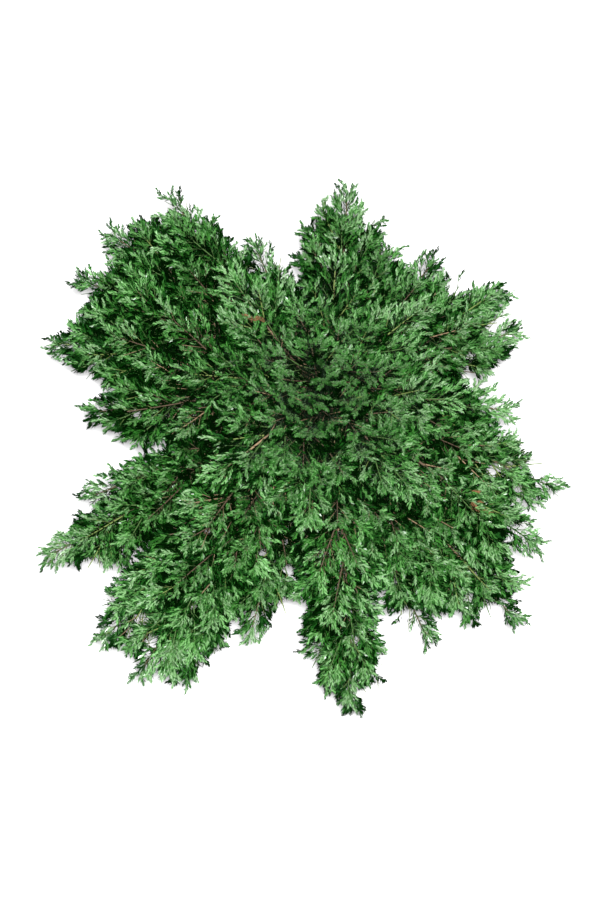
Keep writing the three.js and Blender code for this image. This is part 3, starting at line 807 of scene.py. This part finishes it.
# Branches as tapering tubes
def branchTubes(branches, size):
    shares = np.linspace(0, 1, size["rings"])
    paths = np.stack([everyPlace(branches, share) for share in shares], 1)
    radii = np.tile(size["root"] + (size["tip"] - size["root"]) * shares, (len(paths), 1))
    return tubes(paths, radii, size["sides"])


# Branches as slim closed spikes: three corners about the root, and the tip
def spikesOn(branches, root):
    side, above = crossing(branches["heading"], branches["facing"])
    spokes = between(side[:, None], above[:, None], spokesOf(3))
    corners = branches["base"][:, None] + root * spokes
    points = np.concatenate([corners, everyPlace(branches, 1)[:, None]], 1).reshape(-1, 3)
    single = np.array([[0, 2, 1], [0, 1, 3], [1, 2, 3], [2, 0, 3]])
    offsets = 4 * np.arange(len(corners))[:, None, None]
    return points, (single + offsets).reshape(-1, 3)


def stemTubes():
    size = stemSize
    paths = []
    for plume in plumes:
        last = plume["total"] - size["endsBefore"]
        paths.append(placesOn(plume["course"], np.linspace(plume["bough"]["length"], last, size["rings"])))
    radii = np.tile(np.linspace(size["root"], size["tip"], size["rings"]), (len(plumes), 1))
    return tubes(np.stack(paths), radii, size["sides"])


# Stems are brown, bare stretches tan. Young sprays and twiglets are green, older ones brown or tan.
def growTwigs():
    stems = stemTubes()
    sprayTubes = branchTubes(sprays, spraySize)
    bare = [tubes(line[None], np.full((1, len(line)), bareStem["radius"]), bareStem["sides"])
            for line in bareLines()]
    points, triangles = joined([stems, sprayTubes, *bare])
    tint = np.where(sprays["vigour"] > 0.7, np.where(sprays["hue"] > 0.6, fresh, green),
                    np.where(sprays["hue"] > 0.62, tan, brown))
    tints = np.concatenate([np.full(len(stems[1]), brown), np.repeat(tint, sprayTubes[2]),
                            np.full(sum(len(line[1]) for line in bare), tan)])
    dress(addMesh("twigs_woody", points, triangles, twigFinishes, tints), "bark")
    points, youngTriangles, each = branchTubes(twiglets, twigletSize)
    tint = np.where(twiglets["vigour"] > 0.45, np.where(twiglets["hue"] > 0.8, fresh, green),
                    np.where(twiglets["hue"] < 0.5, brown, tan))
    tint = np.where(inside(twiglets["base"], bareSpots), tan, tint)
    dress(addMesh("twigs_young", points, youngTriangles, twigFinishes, np.repeat(tint, each)), "bark")
    points, budTriangles = spikesOn(buds, budRoot)
    dress(addMesh("twigs_bud", points, budTriangles, [twigFinishes[green]]), "bark")
    return len(triangles) + len(youngTriangles) + len(budTriangles)


print("twigs:", growTwigs(), "faces")


barkRelief = {
    "limbSides": 18, "limbRings": 60, "limbDepth": 0.08, "trunkSides": 48, "trunkRings": 70,
    "trunkDepth": 0.07, "lobes": 4, "lobeDepth": 0.10,
}


# Relief of bark over a limb, as a share of its radius: ridges that wander along it, and scales across
def barkDepth(turn, along, depth):
    wander = 1.1 * np.sin(0.09 * along) + 0.6 * np.sin(0.23 * along + 2.0)
    ridges = np.sin(5 * turn + wander) + 0.6 * np.sin(9 * turn - 1.7 * wander + 0.05 * along)
    scales = 0.5 * np.sin(0.55 * along + 3 * np.sin(2 * turn))
    return 1 + depth * (ridges + scales) / 2


def barkFinish():
    shader = Shader("bark")
    place = shader.objectPlace()
    streaks = shader.noise(shader.stretched(place, (1.0, 1.0, 0.35)), 420.0, 6.0, 0.65)
    patches = shader.noise(place, 90.0, 3.0)
    colour = shader.ramp(streaks, [(0.30, (0.045, 0.022, 0.012)), (0.52, (0.15, 0.075, 0.038)),
                                   (0.72, (0.30, 0.18, 0.10))])
    aged = shader.mix(patches, colour, (0.16, 0.12, 0.09, 1.0))
    return shader.finish(Base_Color=aged, Roughness=0.78 + 0.15 * streaks,
                         Normal=shader.bump(streaks, 0.5, 0.0012))


def growBark():
    size = barkRelief
    parts = []
    share = np.linspace(0, 1, size["trunkRings"])
    flare = np.maximum(0, 1 - share / trunk["flareShare"]) ** 2
    radius = (trunk["footRadius"] + (trunk["tipRadius"] - trunk["footRadius"]) * share
              + (trunk["flareRadius"] - trunk["footRadius"]) * flare)
    turn = spokesOf(size["trunkSides"])
    along = share * (trunk["top"] - trunk["foot"])
    lobes = 1 + size["lobeDepth"] * flare[:, None] * np.cos(size["lobes"] * turn + 0.6)
    relief = barkDepth(turn, along[:, None], size["trunkDepth"]) * lobes
    parts.append(tubes(trunkPlace(share)[None], (radius[:, None] * relief)[None], size["trunkSides"]))
    turn = spokesOf(size["limbSides"])
    share = np.linspace(0, 1, size["limbRings"])
    for k, plume in enumerate(outerPlumes + innerPlumes):
        bough = plume["bough"]
        along = share * bough["length"]
        path = placesOn(plume["course"], along)
        radius = bough["foot"] + (bough["tip"] - bough["foot"]) * np.sqrt(share)
        relief = barkDepth(turn + k, along[:, None] + 31 * k, size["limbDepth"])
        parts.append(tubes(path[None], (radius[:, None] * relief)[None], size["limbSides"]))
    points, triangles = joined(parts)
    wood = addMesh("bark_wood", points, triangles, [barkFinish()])
    dress(wood, "bark", "trunk", *[f"bough_{name}" for name in outerMasses])


growBark()
print("bark grown")

pot = {
    "height": 200.0, "rimRadius": 113.0, "footRadius": 86.0, "wall": 2.4, "floor": 3.0, "sides": 144,
    "collarDepth": 16.0, "collarStep": 3.0, "collarRound": 1.0, "lip": 1.1, "footRound": 3.2,
    "floorRound": 2.0, "middle": 40.0, "axis": 0.001, "drainHoles": 8, "drainRadius": 6.0,
    "drainRing": 66.0, "drillSides": 24,
}
# Heights of the rings of its wall: outside under the raised line, on it and over it, then inside
potRings = {"under": (5.0, 24.0, 25.0), "line": (25.6, 27.0), "over": (27.6, 70.0, 120.0, 160.0),
            "inside": (170.0, 100.0, 20.0)}
raisedLine = 0.35


def potOutside(height):
    top = pot["rimRadius"] - pot["collarStep"]
    return pot["footRadius"] + (top - pot["footRadius"]) * height / pot["height"]


def potInside(height):
    return potOutside(height) - pot["wall"]


# Round corner of a profile, from one angle to another
def arc(middle, radius, start, end, steps=5):
    turn = np.radians(np.linspace(start, end, steps))
    return np.stack([middle[0] + radius * np.cos(turn), middle[1] + radius * np.sin(turn)], -1)


# A profile of (radius, height) rows turned about Z. Its ends are tiny rings about the axis.
def turned(profile, sides):
    turn = spokesOf(sides)
    points = np.stack([
        profile[:, :1] * np.cos(turn), profile[:, :1] * np.sin(turn), np.tile(profile[:, 1:], (1, sides)),
    ], -1)
    return points.reshape(-1, 3), gridTriangles(len(profile), sides)


def plasticFinish():
    shader = Shader("potPlastic")
    place = shader.objectPlace()
    grain = shader.noise(place, 1400.0, 3.0)
    scuffs = shader.noise(shader.stretched(place, (1.0, 1.0, 0.25)), 60.0, 5.0, 0.7)
    worn = shader.ramp(scuffs, [(0.45, (0.010, 0.011, 0.012)), (0.70, (0.030, 0.030, 0.029))])
    return shader.finish(Base_Color=worn, Roughness=0.34 + 0.28 * scuffs,
                         Normal=shader.bump(grain, 0.12, 0.0004))


# Half of the pot's section, from the middle of its underside round to the middle of its floor
def potProfile():
    p = pot
    top = p["height"]
    lip = p["lip"]
    collarFoot = top - p["collarDepth"]
    collarRound = p["collarRound"]
    floorRound = p["floorRound"]
    corner = p["footRadius"] - p["footRound"]
    return np.concatenate([
        [[p["axis"], 0.0], [p["middle"], 0.0], [corner, 0.0]],
        arc((corner, p["footRound"]), p["footRound"], -90, -8),
        [[potOutside(h), h] for h in potRings["under"]],
        [[potOutside(h) + raisedLine, h] for h in potRings["line"]],
        [[potOutside(h), h] for h in (*potRings["over"], collarFoot - 1.2)],
        arc((potOutside(collarFoot) + collarRound, collarFoot - collarRound), collarRound, 180, 90, 4),
        arc((p["rimRadius"] - 0.8 - lip, collarFoot + lip), lip, -90, 0),
        [[p["rimRadius"] - 0.5, top - 8.0]],
        arc((p["rimRadius"] - lip, top - lip), lip, 0, 90),
        arc((potInside(top) + lip, top - lip), lip, 90, 180),
        [[potInside(h), h] for h in (top - 4.0, *potRings["inside"])],
        arc((potInside(p["floor"]) - floorRound, p["floor"] + floorRound), floorRound, 0, -90),
        [[p["middle"], p["floor"]], [p["axis"], p["floor"]]],
    ])


def makePot():
    points, triangles = turned(potProfile(), pot["sides"])
    body = addMesh("pot_body", points, triangles, [plasticFinish()])
    weld = body.modifiers.new("weld", "WELD")
    weld.merge_threshold = 0.00001
    turn = spokesOf(pot["drainHoles"], 0.5)
    middle = np.stack([np.cos(turn), np.sin(turn), 0 * turn], -1) * pot["drainRing"]
    paths = np.stack([middle - up * 6, middle + up * 8], 1)
    drills = tubes(paths, np.full((len(turn), 2), pot["drainRadius"]), pot["drillSides"])
    cutter = addMesh("drill", drills[0], drills[1], [])
    cut = body.modifiers.new("holes", "BOOLEAN")
    cut.object = cutter
    cut.solver = "EXACT"
    solid = bpy.data.meshes.new_from_object(body.evaluated_get(bpy.context.evaluated_depsgraph_get()))
    body.modifiers.clear()
    body.data = solid
    bpy.data.objects.remove(cutter)
    dress(body, "pot_plastic", "pot")


makePot()
print("pot made")

compost = {
    "top": 185.0, "dip": 4.0, "flatRadius": 60.0, "clearance": 0.4, "crumb": 0.8, "rings": 90, "sides": 180,
    "trunkRadius": 14.0, "trunkBlend": 10.0,
}


def compostFinish():
    shader = Shader("compost")
    place = shader.objectPlace()
    crumbs = shader.noise(place, 260.0, 8.0, 0.7)
    colour = shader.ramp(crumbs, [(0.32, (0.008, 0.005, 0.003)), (0.52, (0.030, 0.017, 0.010)),
                                  (0.74, (0.085, 0.050, 0.028))])
    return shader.finish(Base_Color=colour, Roughness=0.92, Normal=shader.bump(crumbs, 0.8, 0.002))


# Height of the compost's face: it dips to the wall, and crumbs on it fade out at the trunk
def compostHeight(x, y):
    size = compost
    radius = np.hypot(x, y)
    edge = potInside(size["top"]) - size["clearance"]
    dip = size["dip"] * np.clip((radius - size["flatRadius"]) / (edge - size["flatRadius"]), 0, 1)
    fade = np.clip((radius - size["trunkRadius"]) / size["trunkBlend"], 0, 1)
    crumbs = (np.sin(0.31 * x + 1.7 * np.sin(0.23 * y)) * np.sin(0.37 * y + 1.3 * np.sin(0.19 * x))
              + 0.5 * np.sin(1.1 * x + 2 * np.sin(0.9 * y)) * np.sin(1.3 * y + 2 * np.sin(0.8 * x)))
    return size["top"] - dip - size["crumb"] + size["crumb"] * crumbs * fade


def fillCompost():
    size = compost
    foot = pot["floor"] + size["clearance"]
    edge = potInside(size["top"] - size["dip"]) - size["clearance"]
    low = potInside(foot) - size["clearance"]
    rings = np.concatenate([[pot["axis"], low], np.linspace(edge, pot["axis"], size["rings"])])
    turn = spokesOf(size["sides"])
    x = rings[:, None] * np.cos(turn)
    y = rings[:, None] * np.sin(turn)
    z = np.concatenate([np.full((2, size["sides"]), foot), compostHeight(x[2:], y[2:])])
    points = np.stack([x, y, z], -1).reshape(-1, 3)
    triangles = gridTriangles(len(rings), size["sides"])
    filling = addMesh("compost_filling", points, triangles, [compostFinish()])
    dress(filling, "compost", "compost")


chips = {
    "count": 900, "reach": 102.0, "trunkRadius": 18.0, "pushedOut": 20.0, "lift": 0.7, "tilt": 0.35,
    "half": 1.5, "halfChange": 3.5, "sides": 5, "paleFrom": 0.72,
    "rings": (-1.0, -0.5, 0.6, 1.0), "thickness": (0.35, 1.0, 0.8, 0.2),
}


# Bark chips on the compost: flat slivers at seeded places and turns, none in the trunk
def scatterChips():
    draw = np.random.default_rng(23)
    count = chips["count"]
    radius = chips["reach"] * np.sqrt(draw.random(count))
    radius = np.where(radius < chips["trunkRadius"], radius + chips["pushedOut"], radius)
    turn = math.tau * draw.random(count)
    x, y = radius * np.cos(turn), radius * np.sin(turn)
    middle = np.stack([x, y, compostHeight(x, y) + chips["lift"]], -1)
    yaw = math.tau * draw.random(count)
    tilt = chips["tilt"] * (draw.random(count) - 0.5)
    along = np.stack([np.cos(yaw) * np.cos(tilt), np.sin(yaw) * np.cos(tilt), np.sin(tilt)], -1)
    half = (chips["half"] + chips["halfChange"] * draw.random(count) ** 2)[:, None]
    paths = middle[:, None] + along[:, None] * half[:, None] * np.array(chips["rings"])[None, :, None]
    radii = (0.25 + 0.22 * half) * np.array(chips["thickness"])
    points, triangles, each = tubes(paths, radii, chips["sides"])
    tints = [plainFinish("chipDark", (0.035, 0.019, 0.011), 0.9),
             plainFinish("chipPale", (0.12, 0.07, 0.04), 0.85)]
    pale = np.repeat((draw.random(count) > chips["paleFrom"]).astype(int), each)
    dress(addMesh("compost_chips", points, triangles, tints, pale), "compost")


fillCompost()
scatterChips()
print("compost filled")

light = {
    "worldStrength": 0.85, "aim": (0.0, 0.0, 0.25), "floorHalf": 40.0, "paper": (0.64, 0.64, 0.64),
    "key": {"place": (0.0, -0.345, 2.2), "size": 0.12, "power": 133.0},
    "fill": {"place": (1.6, -1.4, 1.8), "size": 2.2, "power": 6.0},
}


def addLight(name, setting):
    data = bpy.data.lights.new(name, "AREA")
    data.shape = "SQUARE"
    data.size = setting["size"]
    data.energy = setting["power"]
    lamp = addObject(name, data)
    lamp.location = setting["place"]
    aim = np.subtract(light["aim"], setting["place"])
    lamp.rotation_euler = (math.acos(-aim[2] / np.linalg.norm(aim)), 0.0, math.atan2(aim[0], -aim[1]))


def setStage():
    corners = light["floorHalf"] / mm * np.array([[-1, -1, 0], [1, -1, 0], [1, 1, 0], [-1, 1, 0]])
    paper = plainFinish("paper", light["paper"], 0.9, 0.2)
    floor = addMesh("floor", corners, np.array([[0, 1, 2], [0, 2, 3]]), [paper])
    world = bpy.data.worlds.new("world")
    scene.world = world
    world.use_nodes = True
    sky = world.node_tree.nodes["Background"]
    sky.inputs["Color"].default_value = (1.0, 1.0, 1.0, 1.0)
    sky.inputs["Strength"].default_value = light["worldStrength"]
    addLight("key", light["key"])
    addLight("fill", light["fill"])
    scene.view_settings.view_transform = "Standard"


setStage()
print("stage set")
